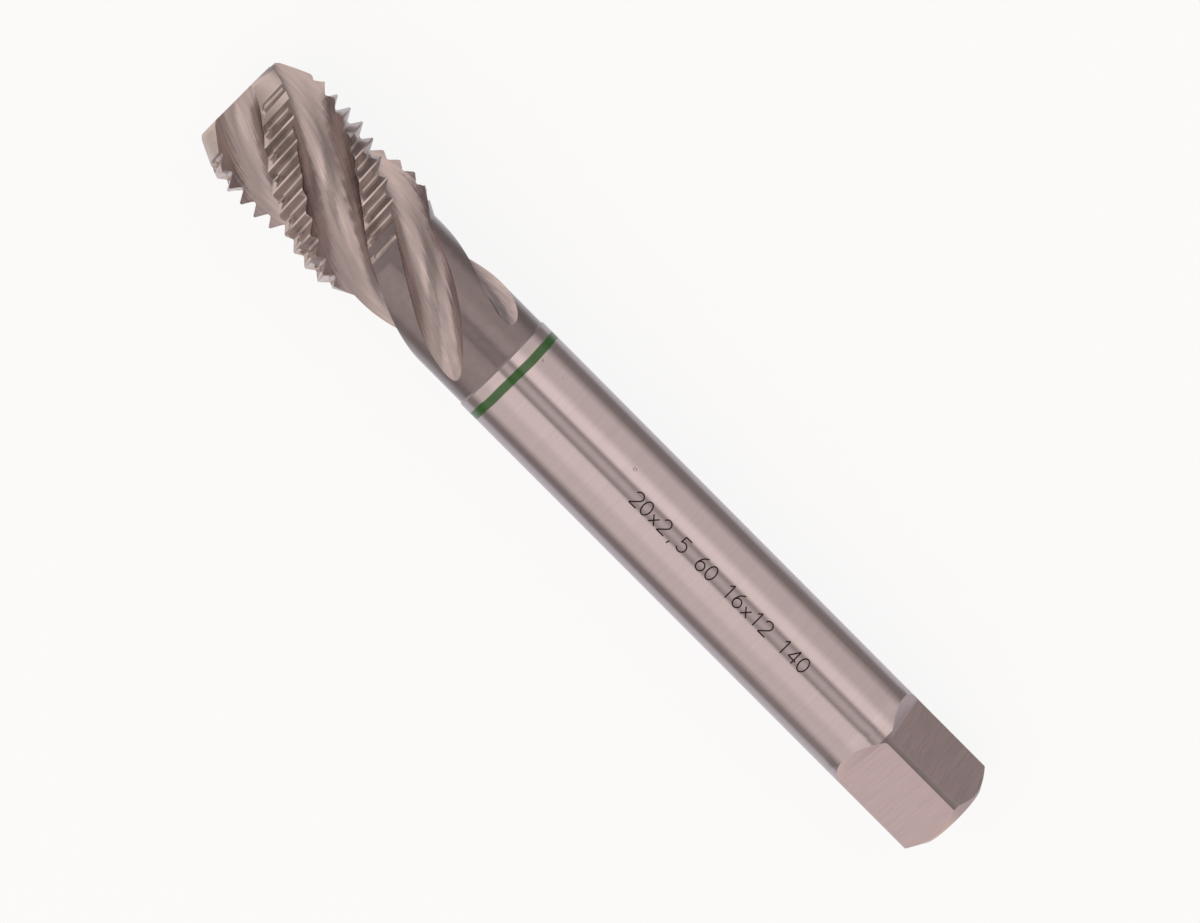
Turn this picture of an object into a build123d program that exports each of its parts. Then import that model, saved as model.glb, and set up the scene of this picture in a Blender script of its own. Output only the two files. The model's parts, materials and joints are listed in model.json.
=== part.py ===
"""A spiral flute machine tap for a 20 mm coarse thread, lying as it comes to rest.

It is one piece of ground high speed steel. It is made standing on its front face, with its
axis along Z, and the last block lays it down with its axis nearly along X. Lengths are in
millimetres and angles in degrees. Heights are measured from the front face. Angles about
the axis are right-handed about the way from the front face to the square, and start at the
middle of one flat of the square.
"""

import os
from math import acos, atan, cos, degrees, radians, sin, sqrt, tan

from build123d import *

# Shank and neck
overall_length = 140.0
shank_diameter = 16.0
shank_start = 51.0
shank_chamfer = 0.3
neck_diameter = 15.6

# Driving square, ground by a wheel whose bevelled edge leaves the run-outs
square_width = 12.0
square_length = 14.85
run_out_angle = 41.5
run_out_corner_radius = 1.0
end_face_diameter = 10.6
end_chamfer_length = 1.6

# Thread, right-hand, as the gaps between its teeth
thread_diameter = 20.0
thread_pitch = 2.5
thread_flank_angle = 60.0
thread_root_diameter = 16.9
thread_root_flat = 0.45
thread_start = 1.31
thread_length = 26.1
back_slope_length = 4.2

# Taper at the front, which shares out the cut
taper_length = 6.25
front_diameter = 15.8
front_bevel = 0.45

# Flutes, right-hand, cut by a round-edged wheel that lifts out into the neck
flute_count = 4
flute_lead = 78.7
flute_radius = 5.05
core_diameter = 10.7
flute_angle = 60.3
flute_full_length = 38.5
flute_lift_radius = 20.0
flute_sections = 26

# Centre holes, by which the tap is held between points while it is ground
centre_cone_angle = 60.0
centre_mouth_diameter = 5.0
centre_drill_diameter = 2.0
centre_drill_depth = 5.0

# How far cutters run past what they cut, along the tap and outside the teeth
overrun = 1.5
gap_clearance = 0.2

# The angle that is on top when the tap lies still
resting_angle = -18.9

thread_radius = thread_diameter / 2
root_radius = thread_root_diameter / 2
shank_radius = shank_diameter / 2
neck_radius = neck_diameter / 2
core_radius = core_diameter / 2
flat_offset = square_width / 2
flat_start = overall_length - square_length
round_end = flat_start - (shank_radius - flat_offset) / tan(radians(run_out_angle))
flute_offset = core_radius + flute_radius
flute_turn = 360 / flute_lead


# The turned and ground blank
with BuildPart() as blank:
    with BuildSketch(Plane.XZ):
        with BuildLine():
            Polyline(
                (0, 0),
                (front_diameter / 2 - front_bevel, 0),
                (front_diameter / 2, front_bevel),
                (thread_radius, taper_length),
                (thread_radius, thread_length),
                (neck_radius, thread_length + back_slope_length),
                (neck_radius, shank_start),
                (shank_radius, shank_start + shank_chamfer),
                (shank_radius, overall_length - end_chamfer_length),
                (end_face_diameter / 2, overall_length),
                (0, overall_length),
                close=True,
            )
        make_face()
    revolve(axis=Axis.Z)

# What the wheel grinds away for one flat of the square, with its sloping run-out
with BuildPart() as flat_cut:
    outside = shank_radius + overrun
    with BuildSketch(Plane.XZ):
        with BuildLine():
            Polyline(
                (flat_offset, flat_start),
                (outside, flat_start - (outside - flat_offset) / tan(radians(run_out_angle))),
                (outside, overall_length + overrun),
                (flat_offset, overall_length + overrun),
                close=True,
            )
        make_face()
        foot = vertices().sort_by_distance((flat_offset, flat_start, 0))[0]
        fillet(foot, radius=run_out_corner_radius)
    extrude(amount=shank_radius + overrun, both=True)

# One flute: the wheel goes along at full depth and then lifts out on an arc
with BuildPart() as flute:
    lift_height = thread_radius - core_radius + overrun
    flute_end = flute_full_length + sqrt(2 * flute_lift_radius * lift_height)
    for step in range(flute_sections + 1):
        height = -overrun + (flute_end + overrun) * step / flute_sections
        lift = max(0, height - flute_full_length) ** 2 / (2 * flute_lift_radius)
        around = radians(flute_angle + flute_turn * height)
        out = flute_offset + lift
        with BuildSketch(Plane.XY.offset(height)):
            with Locations((out * cos(around), out * sin(around))):
                Circle(flute_radius)
    loft()

# One gap between two teeth, which starts at angle zero and is longer than a land is wide
gap_span = 0.9 * 360 / flute_count
gap_rise = thread_pitch * gap_span / 360
with BuildPart() as tooth_gap:
    with BuildLine():
        gap_path = Helix(thread_pitch, gap_rise, root_radius)
    gap_depth = thread_radius - root_radius + gap_clearance
    half_floor = thread_root_flat / 2
    half_mouth = half_floor + gap_depth * tan(radians(thread_flank_angle / 2))
    with BuildSketch(Plane(origin=gap_path @ 0, x_dir=(1, 0, 0), z_dir=gap_path % 0)):
        with BuildLine():
            Polyline(
                (0, -half_floor),
                (gap_depth, -half_mouth),
                (gap_depth, half_mouth),
                (0, half_floor),
                close=True,
            )
        make_face()
    sweep(path=gap_path, is_frenet=True)

# Where the gaps start: the thread's helix meets the middle of each land once a turn
gap_places = []
last_height = thread_length + back_slope_length
for land in range(flute_count):
    land_angle = flute_angle + 360 * (land + 0.5) / flute_count
    height = (thread_start + thread_pitch * land_angle / 360) / (1 - thread_pitch / flute_lead)
    step = thread_pitch / (1 - thread_pitch / flute_lead)
    height = height % step - step
    while height < last_height:
        angle = land_angle + flute_turn * height
        gap_places.append(Location((0, 0, height - gap_rise / 2), (0, 0, angle - gap_span / 2)))
        height += step

# The whole tap, standing on its front face
with BuildPart() as standing_tap:
    add(blank.part)
    with PolarLocations(0, 4):
        add(flat_cut.part, mode=Mode.SUBTRACT)
    with Locations(Plane.XY.offset(overall_length), -Plane.XY):
        CounterSinkHole(
            radius=centre_drill_diameter / 2,
            counter_sink_radius=centre_mouth_diameter / 2,
            depth=centre_drill_depth,
            counter_sink_angle=centre_cone_angle,
        )
    with PolarLocations(0, flute_count):
        add(flute.part, mode=Mode.SUBTRACT)
    with Locations(gap_places):
        add(tooth_gap.part, mode=Mode.SUBTRACT)

# Lying: the teeth beside a flute's mouth and the end of the full shank touch the table, so
# the axis falls a little towards the square. The middle of the end face is the origin.
mouth = (thread_radius**2 + flute_offset**2 - flute_radius**2) / (2 * thread_radius * flute_offset)
flute_mouth_length = 2 * degrees(acos(mouth)) / flute_turn
front_contact = thread_length - flute_mouth_length
fall = atan((thread_radius - shank_radius) / (round_end - front_contact))
along = Vector(cos(fall), 0, -sin(fall))
top = Vector(sin(fall), 0, cos(fall))
flat_side = top.rotate(Axis((0, 0, 0), along), -resting_angle)
lying = Plane(origin=-overall_length * along, x_dir=flat_side, z_dir=along)

with BuildPart(lying) as spiral_flute_tap:
    add(standing_tap.part)
spiral_flute_tap.part.label = "spiral_flute_tap"

os.makedirs("parts", exist_ok=True)
export_step(spiral_flute_tap.part, "parts/spiral_flute_tap.step")
print("axis falls by", degrees(fall), "volume", spiral_flute_tap.part.volume)
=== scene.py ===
# %% [markdown]
# A spiral flute tap, lying on a pale table
#
# A tap cuts a thread in a drilled hole. This one is ground from one bar of high speed steel:
# a tapered thread with four spiral flutes, a dull neck, a bright round shank with a painted
# ring and a few engraved numbers, and a square by which it is turned. The solid model is
# loaded first, because it fixes where everything is and how large it is.

# %% The frame
import json
import math
import bpy
import bmesh
import numpy as np
from mathutils import Matrix, Vector


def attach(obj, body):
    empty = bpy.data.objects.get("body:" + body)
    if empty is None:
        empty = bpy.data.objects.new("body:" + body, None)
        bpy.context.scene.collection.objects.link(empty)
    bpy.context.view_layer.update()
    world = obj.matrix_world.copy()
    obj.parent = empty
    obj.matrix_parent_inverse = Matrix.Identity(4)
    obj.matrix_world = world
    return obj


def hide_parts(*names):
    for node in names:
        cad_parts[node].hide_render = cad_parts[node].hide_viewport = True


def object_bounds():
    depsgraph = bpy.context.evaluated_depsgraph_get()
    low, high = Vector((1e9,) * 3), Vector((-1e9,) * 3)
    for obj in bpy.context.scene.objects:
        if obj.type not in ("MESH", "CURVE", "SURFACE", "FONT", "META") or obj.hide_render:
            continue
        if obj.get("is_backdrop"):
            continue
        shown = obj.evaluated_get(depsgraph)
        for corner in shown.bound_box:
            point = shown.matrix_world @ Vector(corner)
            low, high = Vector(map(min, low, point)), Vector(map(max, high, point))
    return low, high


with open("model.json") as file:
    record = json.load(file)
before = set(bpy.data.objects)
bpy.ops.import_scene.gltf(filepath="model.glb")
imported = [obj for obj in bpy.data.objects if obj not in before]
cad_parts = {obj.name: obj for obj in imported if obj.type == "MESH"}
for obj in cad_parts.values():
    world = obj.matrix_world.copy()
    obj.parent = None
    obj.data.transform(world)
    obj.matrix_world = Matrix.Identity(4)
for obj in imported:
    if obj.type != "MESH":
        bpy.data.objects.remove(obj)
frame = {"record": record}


def box_as_lists(corners):
    return [[float(number) for number in corner] for corner in corners]


solid_box = box_as_lists(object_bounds())
print("box of the solid model in metres:", solid_box)

# %% [markdown]
# The tap doesn't lie along X exactly: its thread is thicker than its shank, so its axis falls
# about one degree towards the square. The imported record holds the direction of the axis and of
# one flat of the square, and every point of the tap is placed from those two, by its height
# from the front face, its radius and its angle about the axis.

# %% Directions of the tap
MM = 0.001
LENGTH = 140.0

mounts = {mount["name"]: mount for mount in frame["record"]["mounts"]}
along = np.array(mounts["end_face"]["axis"])
end_middle = np.array(mounts["end_face"]["pos_m"])
flat_side = np.array(mounts["square_flat"]["axis"])
flat_side = flat_side - along * flat_side.dot(along)
flat_side = flat_side / np.linalg.norm(flat_side)
next_side = np.cross(along, flat_side)


def place(height, radius, angle):
    """Points in metres, from heights and radii in mm and angles in radians from the flat."""
    height, radius, angle = np.broadcast_arrays(height, radius, angle)
    outward = np.cos(angle)[..., None] * flat_side + np.sin(angle)[..., None] * next_side
    return end_middle + MM * ((height - LENGTH)[..., None] * along + radius[..., None] * outward)


print("the axis runs along", along.round(4), "and one flat faces", flat_side.round(4))

# %% [markdown]
# The tap is one body of steel, so it is one mesh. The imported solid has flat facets, which show
# as steps in a polished flute. Here the same surface is made again as a fine grid: each
# row goes once around the tap and each column runs along it. The columns follow the flutes
# and the rows follow the thread, so that the edges of the real tap lie on lines of the grid and
# stay crisp. The rounded floors of the thread's gaps and the small facets at the gaps' ends are
# only here: the solid model leaves them out.

# %% Sizes in millimetres, as in the solid model
THREAD_R = 10.0
ROOT_R = 8.45
PITCH = 2.5
HALF_FLOOR = 0.225
FLANK = math.radians(30)
THREAD_START = 1.31
TAPER_END = 6.25
THREAD_END = 26.1
SLOPE_END = 30.3
FRONT_R = 7.9
BEVEL = 0.45
NECK_R = 7.8
NECK_END = 51.0
SHANK_CHAMFER = 0.3
SHANK_R = 8.0

FLUTES = 4
LEAD = 78.7
FLUTE_R = 5.05
CORE_R = 5.35
FLUTE_START_ANGLE = math.radians(60.3)
FLUTE_FULL_END = 38.5
LIFT_R = 20.0

FLAT_OFFSET = 6.0
FLAT_START = 125.15
RUN_OUT = math.radians(41.5)
RUN_OUT_CORNER = 1.0
END_CHAMFER = 1.6
END_R = 5.3

CENTRE_R = 2.5
DRILL_R = 1.0
DRILL_DEPTH = 5.0
CONE_DEPTH = (CENTRE_R - DRILL_R) / math.tan(math.radians(30))


def blank_radius(height):
    """The turned blank's radius: bevel, taper, thread, back slope, neck."""
    heights = (0, BEVEL, TAPER_END, THREAD_END, SLOPE_END, NECK_END)
    radii = (FRONT_R - BEVEL, FRONT_R, THREAD_R, THREAD_R, NECK_R, NECK_R)
    return np.interp(height, heights, radii)


FLOOR_R = 0.39


def groove_radius(offset):
    """How deep the thread's gap is at a distance along the tap from its middle.

    The wheel's edge is never quite sharp, so the floor is a small arc that touches both flanks.
    """
    offset = np.abs(offset)
    flank = ROOT_R + (offset - HALF_FLOOR) / math.tan(FLANK)
    arc = ROOT_R + FLOOR_R - np.sqrt(np.maximum(FLOOR_R**2 - offset**2, 0))
    return np.where(offset < FLOOR_R * math.cos(FLANK), arc, flank)


print("blank radius at 0, 3 and 40 mm:", blank_radius(np.array([0, 3, 40.0])))

# %% [markdown]
# Across one flute the section is an arc of a circle, because the flute was ground by a wheel
# with a round edge. The circle's middle sits just outside the tap and lifts away at the neck.
# Given the radius of the land beside the flute, this tells where the arc starts and ends, and
# puts the columns along it: most over the floor, a few up the steep walls.

# %% One flute's arc
FLOOR_STEPS = 20
WALL_STEPS = 4
LAND_STEPS = 20
FLOOR_REACH = math.radians(40)
FLOOR_SHARE = 0.867
TURN = 2 * math.pi / LEAD


def wheel_distance(height):
    lift = np.maximum(0, height - FLUTE_FULL_END) ** 2 / (2 * LIFT_R)
    return CORE_R + FLUTE_R + lift


def arc_angle(radius, height):
    """Angle at the wheel's centre from the flute's middle to where its arc meets a radius."""
    out = wheel_distance(height)
    cosine = (out**2 + FLUTE_R**2 - radius**2) / (2 * out * FLUTE_R)
    return np.arccos(np.clip(cosine, -1, 1))


def arc_point(angle, height):
    """Radius and angle about the tap's axis of a point on the arc."""
    out = wheel_distance(height)
    inward = out - FLUTE_R * np.cos(angle)
    across = FLUTE_R * np.sin(angle)
    return np.hypot(inward, across), np.arctan2(across, inward)


def arc_columns(first, last, floor):
    """Angles along the arc: a wall, the floor from -floor to floor, and the other wall."""
    low_wall = np.linspace(-first, -floor, WALL_STEPS + 1)[:-1]
    middle = np.linspace(-floor, floor, FLOOR_STEPS + 1)
    high_wall = np.linspace(floor, last, WALL_STEPS + 1)[1:]
    return np.concatenate([low_wall, middle, high_wall])


radius, angle = arc_point(arc_angle(THREAD_R, 10.0), 10.0)
print("the flute's mouth is", round(2 * math.degrees(angle), 1), "degrees wide at", radius, "mm")

# %% [markdown]
# A row is made quarter by quarter, from the middle of one land over a flute to the middle of
# the next land. Its height is given by a function of the angle, so the same code makes the
# level rows of the neck and the sloping rows of the thread. Angles here turn with the flutes,
# so each flute's middle stays at 0, 90, 180 and 270 degrees along the whole tap.

# %% One row around the fluted part
QUARTER = 2 * math.pi / FLUTES
FIRST_ANGLE = -3.5 * QUARTER
HALF_MOUTH_GUESS = math.radians(28)
EDGE_TRIES = 8
SPREAD_TRIES = 6


def flute_edge(middle, side, height_at, radius_at):
    """Angle, height and arc angle where a row meets one edge of a flute."""
    half = HALF_MOUTH_GUESS
    for _ in range(EDGE_TRIES):
        at = middle + side * half
        height = height_at(at)
        edge_arc = arc_angle(radius_at(height, at), height)
        half = arc_point(edge_arc, height)[1]
    return middle + side * half, height, edge_arc


def fluted_row(height_at, radius_at):
    """Heights, radii and angles of one row. The seam is in the middle of a land."""
    heights, radii, angles = [], [], []
    for quarter in range(FLUTES):
        start = FIRST_ANGLE + quarter * QUARTER
        middle = start + QUARTER / 2
        low, low_height, low_arc = flute_edge(middle, -1, height_at, radius_at)
        high, high_height, high_arc = flute_edge(middle, 1, height_at, radius_at)
        floor = min(FLOOR_REACH, FLOOR_SHARE * min(low_arc, high_arc))
        arc = arc_columns(low_arc, high_arc, floor)
        share = np.linspace(0, 1, len(arc))
        for _ in range(SPREAD_TRIES):
            arc_height = low_height + (high_height - low_height) * share
            arc_radius, arc_at = arc_point(arc, arc_height)
            share = np.clip((middle + arc_at - low) / max(high - low, 1e-9), 0, 1)
        before = np.linspace(start, low, LAND_STEPS + 1)[:-1]
        after = np.linspace(high, start + QUARTER, LAND_STEPS + 1)[1:]
        if quarter < FLUTES - 1:
            after = after[:-1]
        before_height, after_height = height_at(before), height_at(after)
        heights += [before_height, arc_height, after_height]
        radii += [radius_at(before_height, before), arc_radius, radius_at(after_height, after)]
        angles += [before, middle + arc_at, after]
    heights = np.concatenate(heights)
    turned = np.concatenate(angles) + FLUTE_START_ANGLE + TURN * heights
    return heights, np.concatenate(radii), turned


def level_row(height):
    """A row at one height, on the blank between the flutes."""
    return fluted_row(
        lambda at: np.full(np.shape(at), float(height)),
        lambda level, at: blank_radius(level),
    )


print("columns around the tap:", len(level_row(35.0)[0]))

# %% [markdown]
# The thread is one groove that winds around the tap every 2.5 mm. Seen along the lands, which
# turn too, it comes back every 2.58 mm. Each turn of the groove gives eleven rows: the edge
# where the tooth's flank starts, seven over the groove's rounded floor, the next edge, and two
# on the tooth's crest. On the taper at the front the teeth are cut off by the cone, so the
# edges are found as the places where the flank meets the blank. At the end of each land the
# gap's floor comes up a little in a small bright facet.

# %% Rows that follow the thread
TURNED_PITCH = PITCH / (1 - PITCH / LEAD)
FIRST_CUT = 0.62
LAST_CUT = 30.2
DEEPEST_SHIFT = 0.13
HALVINGS = 24
TINY = 1e-6
FLOOR_LINES = FLOOR_R * np.sin(np.radians([-60, -42, -21, 0, 21, 42, 60]))
GROOVE_LINES = len(FLOOR_LINES) + 2
TOOTH_LINES = GROOVE_LINES + 2


def groove_middle(at, turn):
    """Height of the groove's middle at an angle that turns with the flutes."""
    whole = THREAD_START + PITCH * (at + FLUTE_START_ANGLE) / (2 * math.pi) + PITCH * turn
    return whole / (1 - PITCH / LEAD)


def groove_edges(at, turn):
    """Offsets from the groove's middle of its lines: edge, floor lines, edge."""
    middle = groove_middle(at, turn)
    slope = blank_radius(middle + HALF_FLOOR) - blank_radius(middle - HALF_FLOOR)
    deepest = np.where(slope >= 0, DEEPEST_SHIFT, -DEEPEST_SHIFT)
    edges = []
    for side in (-1, 1):
        inside = np.array(deepest, dtype=float)
        outside = np.full(np.shape(middle), side * PITCH / 2)
        for _ in range(HALVINGS):
            trial = (inside + outside) / 2
            cut = groove_radius(trial) < blank_radius(middle + trial)
            inside = np.where(cut, trial, inside)
            outside = np.where(cut, outside, trial)
        edges.append(inside)
    low, high = edges
    return [low] + [np.clip(line, low, high) for line in FLOOR_LINES] + [high]


HEEL_ANGLE = math.radians(28.7)
HEEL_RISE = 0.75
HEEL_WIDTH = 0.9 / ROOT_R


def heel_rise(at):
    """How far a gap's floor comes up where the wheel leaves the end of a land, in mm."""
    from_flute = (at + QUARTER / 2) % QUARTER - QUARTER / 2
    from_edge = -from_flute - HEEL_ANGLE
    share = np.clip(1 - from_edge / HEEL_WIDTH, 0, 1)
    return np.where(from_flute < 0, HEEL_RISE * share, 0.0)


def thread_row(turn, line):
    """One row of the thread. The first lines are the groove's, the last two are on the crest."""

    def height_at(at):
        here = groove_edges(at, turn)
        stretch = 1 / (1 - PITCH / LEAD)
        if line < GROOVE_LINES:
            height = groove_middle(at, turn) + here[line] * stretch
        else:
            start = groove_middle(at, turn) + here[-1] * stretch
            end = groove_middle(at, turn + 1) + groove_edges(at, turn + 1)[0] * stretch
            height = start + (end - start) * (line - GROOVE_LINES + 1) / 3
        return np.clip(height, FIRST_CUT, LAST_CUT)

    def radius_at(height, at):
        blank = blank_radius(height)
        if line >= GROOVE_LINES:
            return blank
        offset = (height - groove_middle(at, turn)) * (1 - PITCH / LEAD)
        return np.minimum(blank, groove_radius(offset) + heel_rise(at))

    return fluted_row(height_at, radius_at)


first_turn = math.floor((FIRST_CUT - groove_middle(-FIRST_ANGLE, 0)) / TURNED_PITCH) - 1
last_turn = math.ceil((LAST_CUT - groove_middle(FIRST_ANGLE, 0)) / TURNED_PITCH) + 1
thread_rows, thread_lines = [], []
for turn in range(first_turn, last_turn + 1):
    for line in range(TOOTH_LINES):
        row = thread_row(turn, line)
        if row[0].max() > FIRST_CUT + TINY and row[0].min() < LAST_CUT - TINY:
            thread_rows.append(row)
            thread_lines.append(line)
print("rows that follow the thread:", len(thread_rows))

# %% [markdown]
# Behind the thread the rows are level. They come closer together where the flutes run out,
# because there the arcs shrink to points. Both ends have a drilled centre hole with a 60
# degree cone, by which the tap was held while it was ground.

# %% Rows of the front and the neck
FLUTE_END = FLUTE_FULL_END + math.sqrt(2 * LIFT_R * (NECK_R - CORE_R))
NECK_ROWS_START = SLOPE_END + 0.4
NECK_ROWS = 20
RUN_OUT_ROWS = 32
RUN_OUT_CROWDING = 1.6


def centre_rows(face_height, inward, face_row):
    """The drilled centre hole, its cone and the flat face, from the axis outwards."""
    angles = face_row[2]
    deep = face_height + inward * DRILL_DEPTH
    cone = face_height + inward * CONE_DEPTH
    rows = []
    for height, radius in ((deep, 0.0), (deep, DRILL_R), (cone, DRILL_R), (face_height, CENTRE_R)):
        rows.append((np.full(len(angles), height), np.full(len(angles), radius), angles))
    rows.append((face_row[0], (face_row[1] + CENTRE_R) / 2, angles))
    return rows


front_face = level_row(0.0)
front_rows = centre_rows(0.0, 1, front_face) + [front_face, level_row(BEVEL)]

neck_rows = [level_row(SLOPE_END)]
for height in np.linspace(NECK_ROWS_START, FLUTE_FULL_END, NECK_ROWS):
    neck_rows.append(level_row(height))
for step in np.linspace(0, 1, RUN_OUT_ROWS + 1)[1:]:
    height = FLUTE_END - (FLUTE_END - FLUTE_FULL_END) * (1 - step) ** RUN_OUT_CROWDING
    neck_rows.append(level_row(height))
print("rows on the front, thread and neck:", len(front_rows), len(thread_rows), len(neck_rows))

# %% [markdown]
# From the end of the flutes on, the tap is a plain round bar with a square on its end. Here the
# columns start where the lands' columns end and settle, step by step along the shank, into
# the square's four flats and four narrow corners. The wheel that ground each flat left a
# sloping run-out, so a flat starts as a point and widens on an arc.

# %% Rows of the shank and square
RING_STEPS = FLUTES * 2 * LAND_STEPS
CORNER_STEPS = 8
FLAT_STEPS = RING_STEPS // 4 - 2 * CORNER_STEPS
SHANK_ROWS = 40
FLAT_START_ROWS = 20
FOOT_ROWS = 9
FLAT_ROWS = 12
CHAMFER_ROWS = 16


def flat_distance(height):
    """Distance of a flat from the axis: sloping run-out, small rounded foot, flat."""
    tangent = RUN_OUT_CORNER * math.tan(RUN_OUT / 2)
    reach = min(max(FLAT_START + tangent - height, 0), RUN_OUT_CORNER)
    if height < FLAT_START - tangent * math.cos(RUN_OUT):
        return FLAT_OFFSET + (FLAT_START - height) * math.tan(RUN_OUT)
    return FLAT_OFFSET + RUN_OUT_CORNER - math.sqrt(RUN_OUT_CORNER**2 - reach**2)


def square_row(height, outer, offset):
    """One row around the square, from the middle of a corner on."""
    half = math.acos(min(1.0, offset / outer))
    radii, angles = [], []
    for flat in range(4):
        middle = flat * math.pi / 2
        before = np.linspace(middle - math.pi / 4, middle - half, CORNER_STEPS + 1)[:-1]
        across = np.arctan(np.linspace(-1, 1, FLAT_STEPS + 1) * math.tan(half))
        after = np.linspace(middle + half, middle + math.pi / 4, CORNER_STEPS + 1)[1:-1]
        radii += [np.full(len(before), outer), min(offset, outer) / np.cos(across)]
        radii.append(np.full(len(after), outer))
        angles += [before, middle + across, after]
    return np.full(RING_STEPS, float(height)), np.concatenate(radii), np.concatenate(angles)


ring_start = FIRST_ANGLE + FLUTE_START_ANGLE + TURN * FLUTE_END
ring_angles = ring_start + 2 * math.pi * np.arange(RING_STEPS) / RING_STEPS
ring_angles = np.sort((ring_angles + math.pi / 4) % (2 * math.pi) - math.pi / 4)
square_start = FLAT_START - (SHANK_R - FLAT_OFFSET) / math.tan(RUN_OUT)
chamfer_start = LENGTH - END_CHAMFER
settled = square_row(square_start, SHANK_R, SHANK_R)

shank_rows = []
for height, radius in ((FLUTE_END, NECK_R), (NECK_END, NECK_R)):
    shank_rows.append((np.full(RING_STEPS, height), np.full(RING_STEPS, radius), ring_angles))
for share in np.linspace(0, 1, SHANK_ROWS):
    height = NECK_END + SHANK_CHAMFER + share * (square_start - NECK_END - SHANK_CHAMFER)
    angles = ring_angles + share * (settled[2] - ring_angles)
    shank_rows.append((np.full(RING_STEPS, height), np.full(RING_STEPS, SHANK_R), angles))

square_rows = []
widest = math.acos(FLAT_OFFSET / SHANK_R)
for share in np.linspace(0, 1, FLAT_START_ROWS + 2)[1:-1]:
    offset = SHANK_R * math.cos(share * widest)
    height = FLAT_START - (offset - FLAT_OFFSET) / math.tan(RUN_OUT)
    if flat_distance(height) < offset + TINY:
        square_rows.append(square_row(height, SHANK_R, offset))
foot_heights = np.linspace(FLAT_START - 0.2, FLAT_START + 0.38, FOOT_ROWS)
flat_heights = np.linspace(FLAT_START + 1.35, chamfer_start, FLAT_ROWS)
for height in np.concatenate([foot_heights, flat_heights]):
    square_rows.append(square_row(height, SHANK_R, flat_distance(height)))
for share in np.linspace(1, 0, CHAMFER_ROWS + 1)[1:]:
    outer = FLAT_OFFSET / math.cos(share * widest)
    height = chamfer_start + (SHANK_R - outer) / (SHANK_R - END_R) * END_CHAMFER
    square_rows.append(square_row(height, outer, FLAT_OFFSET))
end_face = square_row(LENGTH, END_R, END_R)
end_rows = centre_rows(LENGTH, -1, end_face)[::-1]
square_rows.append(end_face)
print("rows on the shank, square and end:", len(shank_rows), len(square_rows), len(end_rows))

# %% [markdown]
# The rows are joined into one skin of four-sided faces, and points that fall together, at the
# seam and where arcs shrink to a point, are merged. Each face remembers which finish it has.
# An edge sharper than about 28 degrees stays crisp and the rest is shaded smooth.

# %% Skin of the tap
SHANK, NECK, FLUTE, THREAD, GAPS, SQUARE, ENDS = range(7)
JOIN_DISTANCE = 2e-6
CRISP_ANGLE = math.radians(28.3)
LAST_CREST = THREAD_END - 0.5
CORNER_SKIN_START = FLAT_START - 0.6


def is_flute_column(column):
    in_quarter = column % (2 * LAND_STEPS + FLOOR_STEPS + 2 * WALL_STEPS)
    return LAND_STEPS <= in_quarter < LAND_STEPS + FLOOR_STEPS + 2 * WALL_STEPS


points, faces, finishes = [], [], []


def add_skin(rows, closed, finish_of):
    """Joins rows into faces. finish_of gives a face's finish from its row, column and height."""
    first = len(points)
    width = len(rows[0][0])
    for heights, radii, angles in rows:
        points.extend(place(heights, radii, angles))
    for row in range(len(rows) - 1):
        for column in range(width if closed else width - 1):
            here = first + row * width + column
            beside = first + row * width + (column + 1) % width
            faces.append((here, beside, beside + width, here + width))
            middle = (rows[row][0][column] + rows[row + 1][0][column]) / 2
            finishes.append(finish_of(row, column, middle))


def fluted_finish(row, column, height):
    if row < len(front_rows) - 2:
        return ENDS
    if is_flute_column(column):
        return FLUTE
    in_thread = row - len(front_rows)
    if 0 <= in_thread < len(thread_lines) and thread_lines[in_thread] < GROOVE_LINES - 1:
        return GAPS
    return THREAD if height < LAST_CREST else NECK


def shank_finish(row, column, height):
    if row <= 1:
        return NECK
    if row < len(shank_rows):
        return SHANK
    if row >= len(shank_rows) + len(square_rows) - 1:
        return ENDS
    in_quarter = column % (RING_STEPS // 4)
    on_flat = CORNER_STEPS <= in_quarter < CORNER_STEPS + FLAT_STEPS
    if height > chamfer_start and not (on_flat and row < len(shank_rows) + len(square_rows) - 2):
        return ENDS
    if on_flat:
        return SQUARE
    return NECK if height > CORNER_SKIN_START else SHANK


add_skin(front_rows + thread_rows + neck_rows, False, fluted_finish)
add_skin(shank_rows + square_rows + end_rows, True, shank_finish)

skin = bpy.data.meshes.new("spiral_flute_tap_skin")
inside_box = np.clip(points, np.min(solid_box, axis=0), np.max(solid_box, axis=0))
skin.from_pydata([tuple(point) for point in inside_box], [], faces)
skin.polygons.foreach_set("material_index", finishes)
work = bmesh.new()
work.from_mesh(skin)
bmesh.ops.remove_doubles(work, verts=work.verts, dist=JOIN_DISTANCE)
bmesh.ops.recalc_face_normals(work, faces=work.faces)
open_edges = sum(1 for edge in work.edges if len(edge.link_faces) != 2)
work.to_mesh(skin)
work.free()
skin.polygons.foreach_set("use_smooth", [True] * len(skin.polygons))
skin.set_sharp_from_angle(angle=CRISP_ANGLE)
tap = bpy.data.objects.new("spiral_flute_tap_body", skin)
bpy.context.scene.collection.objects.link(tap)
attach(tap, "root")
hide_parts("spiral_flute_tap")
print("points:", len(skin.vertices), "faces:", len(skin.polygons), "open edges:", open_edges)

# %% [markdown]
# The finishes are all the same metal: high speed steel, hardened and then ground. Clean steel
# of this kind is a light grey with a touch of warmth. What differs is how each place was
# worked: the shank was ground between points, the flutes and flats by passing wheels, and the
# neck was left as it came from the furnace. So each finish is one metal shader. Colours are
# written as they look on a screen and turned to the linear numbers that nodes use.

# %% Helpers for nodes


def linear(code):
    """An sRGB hex colour as linear red, green, blue and a solid alpha."""
    parts = [int(code[start:start + 2], 16) / 255 for start in (0, 2, 4)]
    return [part / 12.92 if part <= 0.04045 else ((part + 0.055) / 1.055) ** 2.4
            for part in parts] + [1.0]


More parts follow.
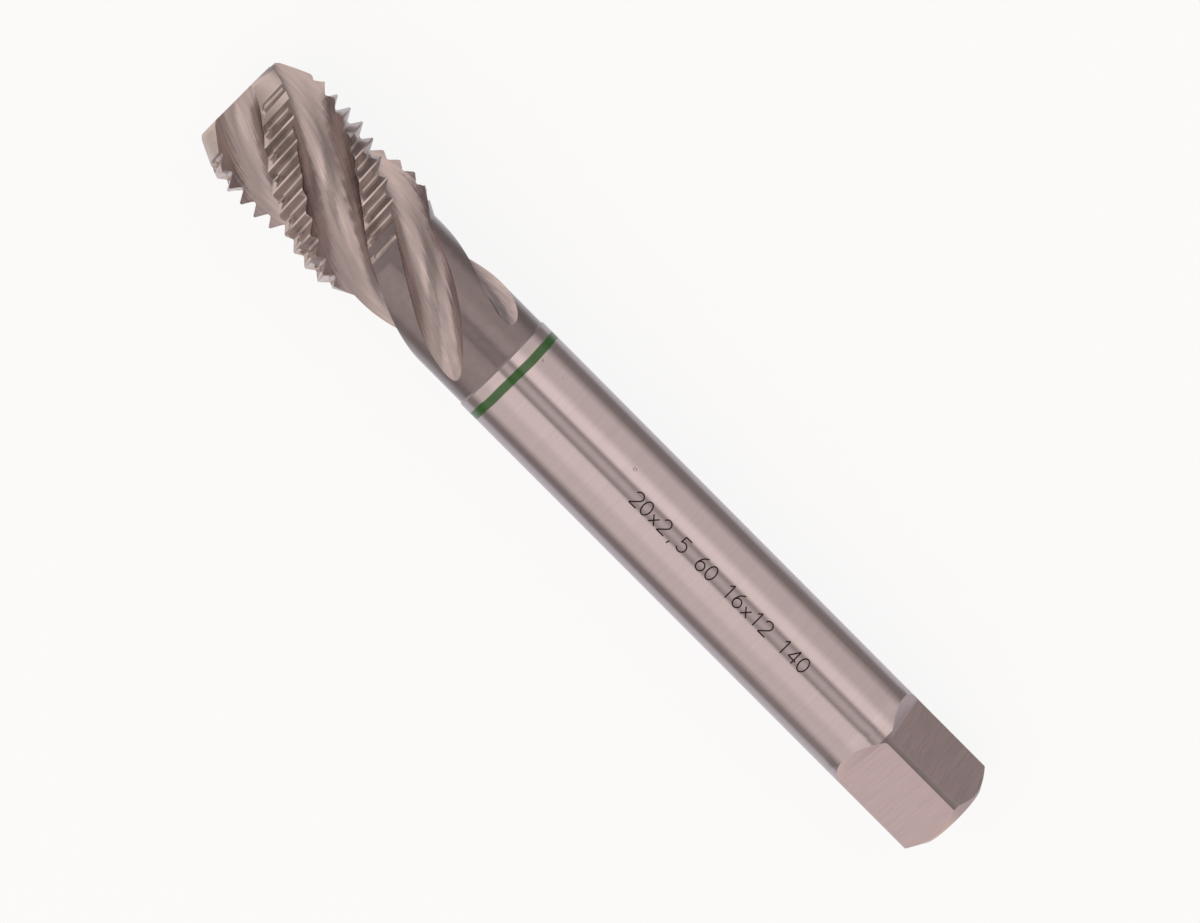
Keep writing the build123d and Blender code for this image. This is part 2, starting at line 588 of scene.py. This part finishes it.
def add_node(tree, kind, settings=None, inputs=None):
    """Adds a node, sets its properties, and sets or links its inputs."""
    node = tree.nodes.new(kind)
    for name, value in (settings or {}).items():
        setattr(node, name, value)
    for name, value in (inputs or {}).items():
        if isinstance(value, bpy.types.NodeSocket):
            tree.links.new(value, node.inputs[name])
        else:
            node.inputs[name].default_value = value
    return node


print("the shank's grey as linear numbers:", [round(part, 3) for part in linear("B6AEB1")])

# %% [markdown]
# Grinding marks have a direction: a fine line is a tenth of a millimetre wide and many long.
# So the tap's own place is used as the pattern's coordinates, in millimetres along the axis and
# towards two of the flats, and a plain noise is squeezed to the size of the mark in each
# direction. The same noise gives the relief and the gloss, because in a real scratch they go
# together. On the shank, neck, flutes and teeth a second, broader one gives the slight
# unevenness of colour, and on the other finishes the same noise does.

# %% Steel with marks of a known size
NOISE_LOW, NOISE_HIGH = 0.28, 0.72


def new_finish(name):
    """A new material, its node tree and its metal shader."""
    material = bpy.data.materials.new(name)
    material.use_nodes = True
    tree = material.node_tree
    shader = tree.nodes["Principled BSDF"]
    shader.inputs["Metallic"].default_value = 1.0
    return material, tree, shader


def tap_place(tree):
    """Place on the tap in mm: height from the front, and across the axis towards two flats."""
    turn = Matrix([along, flat_side, next_side]).to_euler()
    here = add_node(tree, "ShaderNodeTexCoord")
    moved = add_node(tree, "ShaderNodeMapping", None, {
        "Vector": here.outputs["Object"],
        "Location": (LENGTH, 0, 0),
        "Rotation": turn,
        "Scale": (1 / MM, 1 / MM, 1 / MM),
    })
    return moved.outputs["Vector"]


def grain(tree, where, size, detail=3.0):
    """Marks from 0 to 1, as long in each direction as size says, in mm."""
    squeezed = add_node(tree, "ShaderNodeVectorMath", {"operation": "DIVIDE"}, {
        0: where, 1: size,
    })
    noise = add_node(tree, "ShaderNodeTexNoise", None, {
        "Vector": squeezed.outputs["Vector"],
        "Scale": 1.0,
        "Detail": detail,
        "Roughness": 0.6,
    })
    spread = add_node(tree, "ShaderNodeMapRange", None, {
        "Value": noise.outputs["Fac"], "From Min": NOISE_LOW, "From Max": NOISE_HIGH,
    })
    return spread.outputs["Result"]


def lay_steel(tree, shader, clouds, lines, colours, roughness, depth, under=None):
    """Colour from soft clouds, gloss and relief from lines. Depth is in mm."""
    colour = add_node(tree, "ShaderNodeMix", {"data_type": "RGBA"}, {
        0: clouds, 6: linear(colours[0]), 7: linear(colours[1]),
    })
    gloss = add_node(tree, "ShaderNodeMapRange", None, {
        "Value": lines, "To Min": roughness[0], "To Max": roughness[1],
    })
    relief = add_node(tree, "ShaderNodeBump", None, {
        "Height": lines, "Strength": 0.3, "Distance": depth * MM,
    })
    if under:
        tree.links.new(under, relief.inputs["Normal"])
    tree.links.new(colour.outputs[2], shader.inputs["Base Color"])
    tree.links.new(gloss.outputs["Result"], shader.inputs["Roughness"])
    tree.links.new(relief.outputs["Normal"], shader.inputs["Normal"])


print("marks that are too fine to show are drawn 0.1 to 0.2 mm wide")

# %% [markdown]
# The shank was ground while it turned, so its lines run around it and are finer than a tenth
# of a millimetre; they are drawn a little coarser, so that they just show. Tools knock against
# each other in a drawer, so a few tiny dents are scattered over it: a cell pattern puts one
# spot in each cube of 5 mm, and only some cubes keep theirs.

# %% Ground shank
DENT_SPACING = 5
DENT_DEPTH = 0.06

shank_steel, tree, shader = new_finish("ground_high_speed_steel")
where = tap_place(tree)
lines = grain(tree, where, (0.12, 9, 9))
bands = grain(tree, where, (0.5, 15, 15), 2.0)
cubes = add_node(tree, "ShaderNodeTexVoronoi", None, {"Vector": where, "Scale": 1 / DENT_SPACING})
spots = add_node(tree, "ShaderNodeMapRange", None, {
    "Value": cubes.outputs["Distance"], "From Min": 0.03, "From Max": 0.06,
    "To Min": 1.0, "To Max": 0.0,
})
kept = add_node(tree, "ShaderNodeMath", {"operation": "GREATER_THAN"}, {
    0: cubes.outputs["Color"], 1: 0.4,
})
dents = add_node(tree, "ShaderNodeMath", {"operation": "MULTIPLY"}, {
    0: spots.outputs["Result"], 1: kept.outputs[0],
})
dented = add_node(tree, "ShaderNodeBump", {"invert": True}, {
    "Height": dents.outputs[0], "Strength": 1.0, "Distance": DENT_DEPTH * MM,
})
lay_steel(tree, shader, bands, lines, ("B6AEB1", "BBB3B5"), (0.11, 0.15), 0.0015,
          dented.outputs["Normal"])
print("shank finish:", shank_steel.name)

# %% [markdown]
# Behind the neck a band of green paint runs around the shank, which tells the kind of tap. It
# was brushed on while the tap turned, so its edges wander by a few hundredths of a millimetre
# and it is thin and glossy: some of the steel's shine comes through. It is mixed over the steel
# by the height, which a noise shifts a little for the edges.

# %% Painted ring
RING_FROM, RING_TO = 52.92, 54.18
RING_WANDER = 0.05
RING_EDGE = 0.06
PAINT_COVER = 0.94

paint = add_node(tree, "ShaderNodeBsdfPrincipled", None, {"Roughness": 0.12})
brushing = grain(tree, where, (0.2, 2.5, 2.5), 2.0)
green = add_node(tree, "ShaderNodeMix", {"data_type": "RGBA"}, {
    0: brushing, 6: linear("125509"), 7: linear("1A6010"),
})
tree.links.new(green.outputs[2], paint.inputs["Base Color"])
height = add_node(tree, "ShaderNodeSeparateXYZ", None, {"Vector": where}).outputs["X"]
wander = grain(tree, where, (20, 2.5, 2.5), 1.0)
shift = add_node(tree, "ShaderNodeMapRange", None, {
    "Value": wander, "To Min": -RING_WANDER, "To Max": RING_WANDER,
})
uneven = add_node(tree, "ShaderNodeMath", {"operation": "ADD"}, {
    0: height, 1: shift.outputs["Result"],
})
from_middle = add_node(tree, "ShaderNodeMath", {"operation": "SUBTRACT"}, {
    0: uneven.outputs[0], 1: (RING_FROM + RING_TO) / 2,
})
distance = add_node(tree, "ShaderNodeMath", {"operation": "ABSOLUTE"}, {
    0: from_middle.outputs[0],
})
inside = add_node(tree, "ShaderNodeMapRange", None, {
    "Value": distance.outputs[0],
    "From Min": (RING_TO - RING_FROM) / 2 - RING_EDGE,
    "From Max": (RING_TO - RING_FROM) / 2 + RING_EDGE,
    "To Min": PAINT_COVER,
    "To Max": 0.0,
})
painted = add_node(tree, "ShaderNodeMixShader", None, {
    "Fac": inside.outputs["Result"], 1: shader.outputs[0], 2: paint.outputs[0],
})
tree.links.new(painted.outputs[0], tree.nodes["Material Output"].inputs["Surface"])
print("painted ring from", RING_FROM, "to", RING_TO, "mm")

# %% [markdown]
# The neck was not ground after hardening: it has a dark, slightly blotchy skin of oxide, with a
# film of oil on it. The film is a clear coat, which gives the neck its pale rims. Its index is
# set a little above oil's 1.47, to make them pale enough. The slope behind the thread and the
# narrow corners of the square have the same skin.

# %% Hardened neck
neck_steel, tree, shader = new_finish("hardened_dull_steel")
where = tap_place(tree)
blotches = grain(tree, where, (1.5, 1.5, 1.5), 4.0)
skin_grain = grain(tree, where, (0.15, 0.15, 0.15), 2.0)
lay_steel(tree, shader, blotches, skin_grain, ("766D6E", "817879"), (0.32, 0.42), 0.006)
shader.inputs["Coat Weight"].default_value = 1.0
shader.inputs["Coat Roughness"].default_value = 0.12
shader.inputs["Coat IOR"].default_value = 1.6
print("neck finish:", neck_steel.name)

# %% [markdown]
# Each flute was ground lengthwise by a wheel, so its lines wind along with it. The place is
# turned back by the flute's twist, which makes the lines straight, and then squeezed. Under
# the fine lines lie broader streaks, a few hundredths of a millimetre deep, which the wheel
# left as it wore: they break the reflections into long strokes.

# %% Ground flutes
flute_steel, tree, shader = new_finish("ground_flute_steel")
where = tap_place(tree)
height = add_node(tree, "ShaderNodeSeparateXYZ", None, {"Vector": where}).outputs["X"]
back = add_node(tree, "ShaderNodeMath", {"operation": "MULTIPLY"}, {0: height, 1: -TURN})
straight = add_node(tree, "ShaderNodeVectorRotate", {"rotation_type": "X_AXIS"}, {
    "Vector": where, "Angle": back.outputs[0],
}).outputs["Vector"]
lines = grain(tree, straight, (7, 0.16, 0.16))
streaks = grain(tree, straight, (9, 0.8, 0.8), 3.0)
waved = add_node(tree, "ShaderNodeBump", None, {
    "Height": streaks, "Strength": 0.5, "Distance": 0.05 * MM,
})
lay_steel(tree, shader, streaks, lines, ("A69DA0", "C2B7B3"), (0.14, 0.24), 0.025,
          waved.outputs["Normal"])
print("flute finish:", flute_steel.name)

# %% [markdown]
# The teeth were ground by a wheel with a sharp ribbed edge: bright, with lines around the tap,
# nearly along the thread.

# %% Ground teeth
teeth_steel, tree, shader = new_finish("ground_teeth_steel")
where = tap_place(tree)
lines = grain(tree, where, (0.1, 6, 6))
clouds = grain(tree, where, (1.2, 1.2, 1.2), 2.0)
lay_steel(tree, shader, clouds, lines, ("BDB4B1", "C7BEBA"), (0.2, 0.3), 0.004)
print("teeth finish:", teeth_steel.name)

# %% [markdown]
# The gaps between the teeth are painted a little darker than the teeth: this is painted shade for
# the recesses. They are still light enough that the glints which cross from one flank to the other
# don't die in the gap.

# %% Ground gaps
gap_steel, tree, shader = new_finish("gap_steel_painted_shade")
where = tap_place(tree)
lines = grain(tree, where, (0.1, 6, 6))
# The darker greys here are painted shade in the gaps between the teeth.
lay_steel(tree, shader, lines, lines, ("B3AAA8", "BFB6B4"), (0.16, 0.26), 0.004)
print("gap finish:", gap_steel.name)

# %% [markdown]
# The wheel crossed each flat of the square from side to side, which leaves slightly wavy lines
# across it and a duller face than the shank's.

# %% Ground flats of the square
flat_steel, tree, shader = new_finish("cross_ground_steel")
where = tap_place(tree)
waves = grain(tree, where, (3, 3, 3), 1.0)
shift = add_node(tree, "ShaderNodeCombineXYZ", None, {"X": waves})
wavy = add_node(tree, "ShaderNodeVectorMath", {"operation": "MULTIPLY_ADD"}, {
    0: shift.outputs["Vector"], 1: (0.4, 0, 0), 2: where,
}).outputs["Vector"]
lines = grain(tree, wavy, (0.22, 7, 7))
lay_steel(tree, shader, lines, lines, ("B7AAAC", "C5B8BA"), (0.26, 0.36), 0.012)
print("flats finish:", flat_steel.name)

# %% [markdown]
# The end faces, the centre holes and the chamfered rim of the square were only turned and
# drilled. They are duller than the shank, with rings around the axis.

# %% Turned ends
end_steel, tree, shader = new_finish("turned_steel")
where = tap_place(tree)
parts = add_node(tree, "ShaderNodeSeparateXYZ", None, {"Vector": where})
across = add_node(tree, "ShaderNodeCombineXYZ", None, {
    "Y": parts.outputs["Y"], "Z": parts.outputs["Z"],
})
radius = add_node(tree, "ShaderNodeVectorMath", {"operation": "LENGTH"}, {0: across.outputs[0]})
from_axis = add_node(tree, "ShaderNodeCombineXYZ", None, {"X": radius.outputs["Value"]})
rings = grain(tree, from_axis.outputs[0], (0.18, 1, 1))
lay_steel(tree, shader, rings, rings, ("BAA8A5", "C7B5B2"), (0.28, 0.4), 0.01)

for material in (shank_steel, neck_steel, flute_steel, teeth_steel, gap_steel, flat_steel,
                 end_steel):
    skin.materials.append(material)
print("finishes on the tap:", [material.name for material in skin.materials])

# %% [markdown]
# On a real tap the sizes are engraved in the shank by a needle, in single strokes. Here they are
# plain numbers: the thread's diameter, pitch and angle, the shank and square, and the length.
# Each figure is drawn as strokes on a grid four units wide and six high, with round parts as arcs.
# A stroke becomes a ribbon a fifth of a millimetre wide that hugs the round shank, which is
# lighter than cutting thin grooves in the mesh. Its dark colour is painted shade: it stands in for
# the shade inside a cut groove, so that it looks the same from the camera.

# %% Figures as strokes


def bow(x, y, wide, high, first, last):
    """Points on an arc of an ellipse, from one angle in degrees to another."""
    steps = [math.radians(first + (last - first) * step / 12) for step in range(13)]
    return [(x + wide * math.cos(angle), y + high * math.sin(angle)) for angle in steps]


STROKES = {
    "0": [bow(2, 3, 1.9, 3, 90, 450)],
    "1": [[(0.7, 4.7), (2.2, 6), (2.2, 0)]],
    "2": [bow(1.9, 4.2, 1.8, 1.8, 165, -35) + [(0.1, 0), (3.9, 0)]],
    "4": [[(3, 0), (3, 6), (0.1, 1.7), (4, 1.7)]],
    "5": [[(3.6, 6), (0.6, 6), (0.4, 3.2)] + bow(1.8, 2, 2, 2, 130, -150)],
    "6": [bow(2, 1.9, 1.8, 1.9, 0, 360), bow(4.4, 1.9, 4.2, 4.5, 110, 180)],
    "x": [[(0.5, 3.4), (3.5, 0)], [(3.5, 3.4), (0.5, 0)]],
    ",": [[(1.9, 0.4), (1.3, -1.1)]],
}
FIGURES = "20x2,5 60 16x12 140"
FIGURE_HEIGHT = 2.15
UNIT = FIGURE_HEIGHT / 6
FIGURE_STEP = 5
HALF_FIGURE = 3
FIGURES_START = 76.5
FIGURES_MIDDLE = math.radians(-37.1)
STROKE_WIDTH = 0.2
RIBBON_LIFT = 0.006
RIBBON_STEP = 0.2

ribbon_points, ribbon_faces = [], []
for number, figure in enumerate(FIGURES):
    for stroke in STROKES.get(figure, []):
        line = np.array(stroke) * UNIT
        reach = np.concatenate([[0], np.cumsum(np.hypot(*np.diff(line, axis=0).T))])
        corners = np.linspace(0, reach[-1], max(2, math.ceil(reach[-1] / RIBBON_STEP) + 1))
        corners = np.unique(np.concatenate([corners, reach]).round(3))
        line = np.stack([np.interp(corners, reach, line[:, side]) for side in (0, 1)], axis=1)
        way = np.gradient(line, axis=0)
        way = way / np.linalg.norm(way, axis=1)[:, None]
        sideways = np.stack([-way[:, 1], way[:, 0]], axis=1) * STROKE_WIDTH / 2
        first = len(ribbon_points)
        for edge in (line + sideways, line - sideways):
            heights = FIGURES_START + number * FIGURE_STEP * UNIT + edge[:, 0]
            angles = FIGURES_MIDDLE - (edge[:, 1] - HALF_FIGURE * UNIT) / SHANK_R
            ribbon_points.extend(place(heights, SHANK_R + RIBBON_LIFT, angles))
        count = len(line)
        for step in range(count - 1):
            here = first + step
            ribbon_faces.append((here, here + 1, here + 1 + count, here + count))

figures_mesh = bpy.data.meshes.new("engraved_figures")
figures_mesh.from_pydata([tuple(point) for point in ribbon_points], [], ribbon_faces)
figures = bpy.data.objects.new("engraved_figures", figures_mesh)
bpy.context.scene.collection.objects.link(figures)
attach(figures, "root")

groove_shade_paint, tree, shader = new_finish("engraved_groove_painted_shade")
where = tap_place(tree)
groove_shade_grain = grain(tree, where, (0.1, 0.1, 0.1), 2.0)
# The dark greys are painted shade: they stand in for the shade inside the needle-cut grooves.
lay_steel(tree, shader, groove_shade_grain, groove_shade_grain, ("2C2323", "3E3433"), (0.4, 0.55), 0.01)
figures_mesh.materials.append(groove_shade_paint)
print("engraved strokes:", len(ribbon_faces), "faces, up to", round(heights.max(), 1), "mm")

# %% [markdown]
# The table is a plain pale sheet. It takes the tap's soft shadow. The camera sees most of it as
# plain white, as in a catalogue picture, and the metal sees the light tent's lower half there.

# %% Table
TABLE_REACH = 1.5
TABLE_MIDDLE = -0.07
PLAIN_WHITE_SHARE = 0.88

table_height = min(corner[2] for corner in box_as_lists(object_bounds()))
table_mesh = bpy.data.meshes.new("table")
table_mesh.from_pydata(
    [
        (x * TABLE_REACH + TABLE_MIDDLE, y * TABLE_REACH, table_height)
        for x, y in ((-1, -1), (1, -1), (1, 1), (-1, 1))
    ],
    [],
    [(0, 1, 2, 3)],
)
table = bpy.data.objects.new("table", table_mesh)
bpy.context.scene.collection.objects.link(table)
table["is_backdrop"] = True

pale_sheet = bpy.data.materials.new("white_paper_sheet")
pale_sheet.use_nodes = True
tree = pale_sheet.node_tree
paper = tree.nodes["Principled BSDF"]
paper.inputs["Base Color"].default_value = linear("F6F5F4")
paper.inputs["Roughness"].default_value = 0.9
paper.inputs["Specular IOR Level"].default_value = 0.0
rays = add_node(tree, "ShaderNodeLightPath")
white = add_node(tree, "ShaderNodeEmission", None, {"Color": (1, 1, 1, 1), "Strength": 1.0})
lifted = add_node(tree, "ShaderNodeMixShader", None, {
    "Fac": PLAIN_WHITE_SHARE, 1: paper.outputs[0], 2: white.outputs[0],
})
seen = add_node(tree, "ShaderNodeMixShader", None, {
    "Fac": rays.outputs["Is Camera Ray"], 1: paper.outputs[0], 2: lifted.outputs[0],
})
clear = add_node(tree, "ShaderNodeBsdfTransparent")
final = add_node(tree, "ShaderNodeMixShader", None, {
    "Fac": rays.outputs["Is Glossy Ray"], 1: seen.outputs[0], 2: clear.outputs[0],
})
tree.links.new(final.outputs[0], tree.nodes["Material Output"].inputs["Surface"])
table_mesh.materials.append(pale_sheet)
print("table at", round(table_height * 1000, 3), "mm")

# %% [markdown]
# Bright metal shows its surroundings, so the studio is as important as the finish. The tap lies
# in a light tent, which is given by direction: four rows of panels, each at a place from -1,
# straight out past the thread, to 1, straight out past the square. A panel is an even strip,
# given by where it starts and ends in degrees around the tap from the lens, its level, and
# what it is made of. Panels fade into their neighbours, and each row fades into the next. The
# cloth is warm and the table is nearly neutral.
#
# Beside the shank there is a bright panel on each side of the lens, softer cloth further down,
# and a dark strip near each rim, which draws the dark lines along a bright bar. The lens looks
# in through a narrow gap with dark edges. Towards the thread the middle is dark, as it would be
# where a photographer stands, and bright cloth closes the tent behind it. Towards the square
# the cloth is grey. The panels were set at rounded levels, after measured comparisons
# of renders with the photograph, so that the shank shows its bands about where the photograph
# does. They are a likeness of that studio, whose real set-up isn't known.

# %% Light tent
LENS_TILT = 18.2
CLOTH = (1.11, 0.97, 0.91)
TABLE = (1.0, 0.96, 1.0)
TENT_BEHIND_THREAD = (
    (-170, -130, 0.8, TABLE),
    (-90, 90, 1.0, CLOTH),
)
TENT_AT_THREAD = (
    (-170, -145, 0.7, TABLE),
    (-125, -115, 0.3, TABLE),
    (-90, -65, 0.9, CLOTH),
    (-20, 25, 0.35, CLOTH),
    (55, 100, 0.85, CLOTH),
)
TENT_BESIDE_SHANK = (
    (-175, -140, 0.7, TABLE),
    (-125, -103, 0.3, CLOTH),
    (-80, -50, 0.85, CLOTH),
    (-34, -20, 1.25, CLOTH),
    (-13, -11, 0.4, CLOTH),
    (-3, 3, 0.75, CLOTH),
    (11, 13, 0.4, CLOTH),
    (18, 45, 1.1, CLOTH),
    (60, 85, 0.9, CLOTH),
    (104, 118, 0.3, CLOTH),
    (130, 170, 0.75, TABLE),
)
TENT_AT_SQUARE = (
    (-170, -140, 0.65, TABLE),
    (-120, -80, 0.4, CLOTH),
    (-20, 60, 0.65, CLOTH),
    (90, 125, 0.9, CLOTH),
)
TENT = (
    (-0.95, TENT_BEHIND_THREAD),
    (-0.6, TENT_AT_THREAD),
    (0.08, TENT_BESIDE_SHANK),
    (0.5, TENT_AT_SQUARE),
)
BRIGHTEST = 2.0

world = bpy.data.worlds.new("light_tent")
bpy.context.scene.world = world
world.use_nodes = True
world.cycles.sampling_method = "NONE"
tree = world.node_tree
tree.nodes.clear()
direction = add_node(tree, "ShaderNodeTexCoord").outputs["Generated"]
parts = add_node(tree, "ShaderNodeSeparateXYZ", None, {"Vector": direction})
around = add_node(tree, "ShaderNodeMath", {"operation": "ARCTAN2"}, {
    0: parts.outputs["Y"], 1: parts.outputs["Z"],
})
from_lens = add_node(tree, "ShaderNodeMapRange", {"clamp": False}, {
    "Value": around.outputs[0],
    "From Min": math.radians(LENS_TILT) + math.pi,
    "From Max": math.radians(LENS_TILT) - math.pi,
})
wrapped = add_node(tree, "ShaderNodeMath", {"operation": "FRACT"}, {
    0: from_lens.outputs["Result"],
})


def panel_colour(level, stuff):
    """A panel's colour as a part of the brightest."""
    return [level / BRIGHTEST * part for part in stuff] + [1.0]


cloth = None
for number, (row_place, panels) in enumerate(TENT):
    ramp = add_node(tree, "ShaderNodeValToRGB", None, {"Fac": wrapped.outputs[0]})
    for start, end, level, stuff in panels:
        for angle in (start, end):
            stop = ramp.color_ramp.elements.new((angle + 180) / 360)
            stop.color = panel_colour(level, stuff)
    for spare in (0, -1):
        ramp.color_ramp.elements.remove(ramp.color_ramp.elements[spare])
    if cloth is None:
        cloth = ramp.outputs["Color"]
        continue
    reached = add_node(tree, "ShaderNodeMapRange", None, {
        "Value": parts.outputs["X"], "From Min": TENT[number - 1][0], "From Max": row_place,
    })
    cloth = add_node(tree, "ShaderNodeMix", {"data_type": "RGBA"}, {
        0: reached.outputs["Result"], 6: cloth, 7: ramp.outputs["Color"],
    }).outputs[2]
light = add_node(tree, "ShaderNodeBackground", None, {
    "Color": cloth, "Strength": BRIGHTEST,
})
plain = add_node(tree, "ShaderNodeBackground", None, {"Color": (1, 1, 1, 1), "Strength": 1.0})
rays = add_node(tree, "ShaderNodeLightPath")
studio = add_node(tree, "ShaderNodeMixShader", None, {
    "Fac": rays.outputs["Is Camera Ray"], 1: light.outputs[0], 2: plain.outputs[0],
})
add_node(tree, "ShaderNodeOutputWorld", None, {"Surface": studio.outputs[0]})
print("panels in the tent:", sum(len(panels) for _, panels in TENT))

# %% [markdown]
# The photograph looks down on the tap with a long lens, with the thread at the upper left. The
# camera stands 800 mm from the thread and turns towards the middle of the tap. The tap's axis
# runs down to the right in the picture, and near the thread a millimetre is 7.3 pixels wide.

# %% Camera
LENS_DISTANCE = 800.0
SENSOR_WIDTH = 36.0
OPPOSITE = 15.0
AIM = 70.45
PHOTO_WIDTH, PHOTO_HEIGHT = 1200, 923
PIXELS_PER_MM = 7.262
AXIS_RIGHT, AXIS_DOWN = 0.70679, 0.70742

top = np.array([-along[2], 0.0, along[0]])
tilt = math.radians(LENS_TILT)
to_lens = math.cos(tilt) * top + math.sin(tilt) * np.array([0.0, 1.0, 0.0])
upward = -math.sin(tilt) * top + math.cos(tilt) * np.array([0.0, 1.0, 0.0])
picture_right = AXIS_RIGHT * along + AXIS_DOWN * upward

lens_at = place(OPPOSITE, 0.0, 0.0) + LENS_DISTANCE * MM * to_lens
aim_at = place(AIM, 0.0, 0.0)
back = lens_at - aim_at
back = back / np.linalg.norm(back)
right = picture_right - back * picture_right.dot(back)
right = right / np.linalg.norm(right)
camera_data = bpy.data.cameras.new("camera")
camera_data.sensor_width = SENSOR_WIDTH
camera_data.lens = SENSOR_WIDTH * PIXELS_PER_MM * LENS_DISTANCE / PHOTO_WIDTH
camera_data.clip_start = 0.01
camera = bpy.data.objects.new("camera", camera_data)
bpy.context.scene.collection.objects.link(camera)
turned = Matrix([right, np.cross(back, right), back]).transposed()
camera.matrix_world = Matrix.Translation(Vector(lens_at)) @ turned.to_4x4()
bpy.context.scene.camera = camera


def in_picture(point):
    """Where a point lands in the photograph, in pixels from the top left."""
    seen = np.array(turned.transposed()) @ (point - lens_at)
    reach = camera_data.lens / SENSOR_WIDTH * PHOTO_WIDTH / -seen[2]
    return PHOTO_WIDTH / 2 + seen[0] * reach, PHOTO_HEIGHT / 2 - seen[1] * reach


for height in (0.0, AIM, LENGTH):
    pixel = in_picture(place(height, 0.0, 0.0))
    print("axis at", height, "mm is at pixel", [round(float(number), 1) for number in pixel])

# %% [markdown]
# Last, the view transform is set. Standard view transform shows colours as they are given.

# %% Finish
scene = bpy.context.scene
scene.view_settings.view_transform = "Standard"
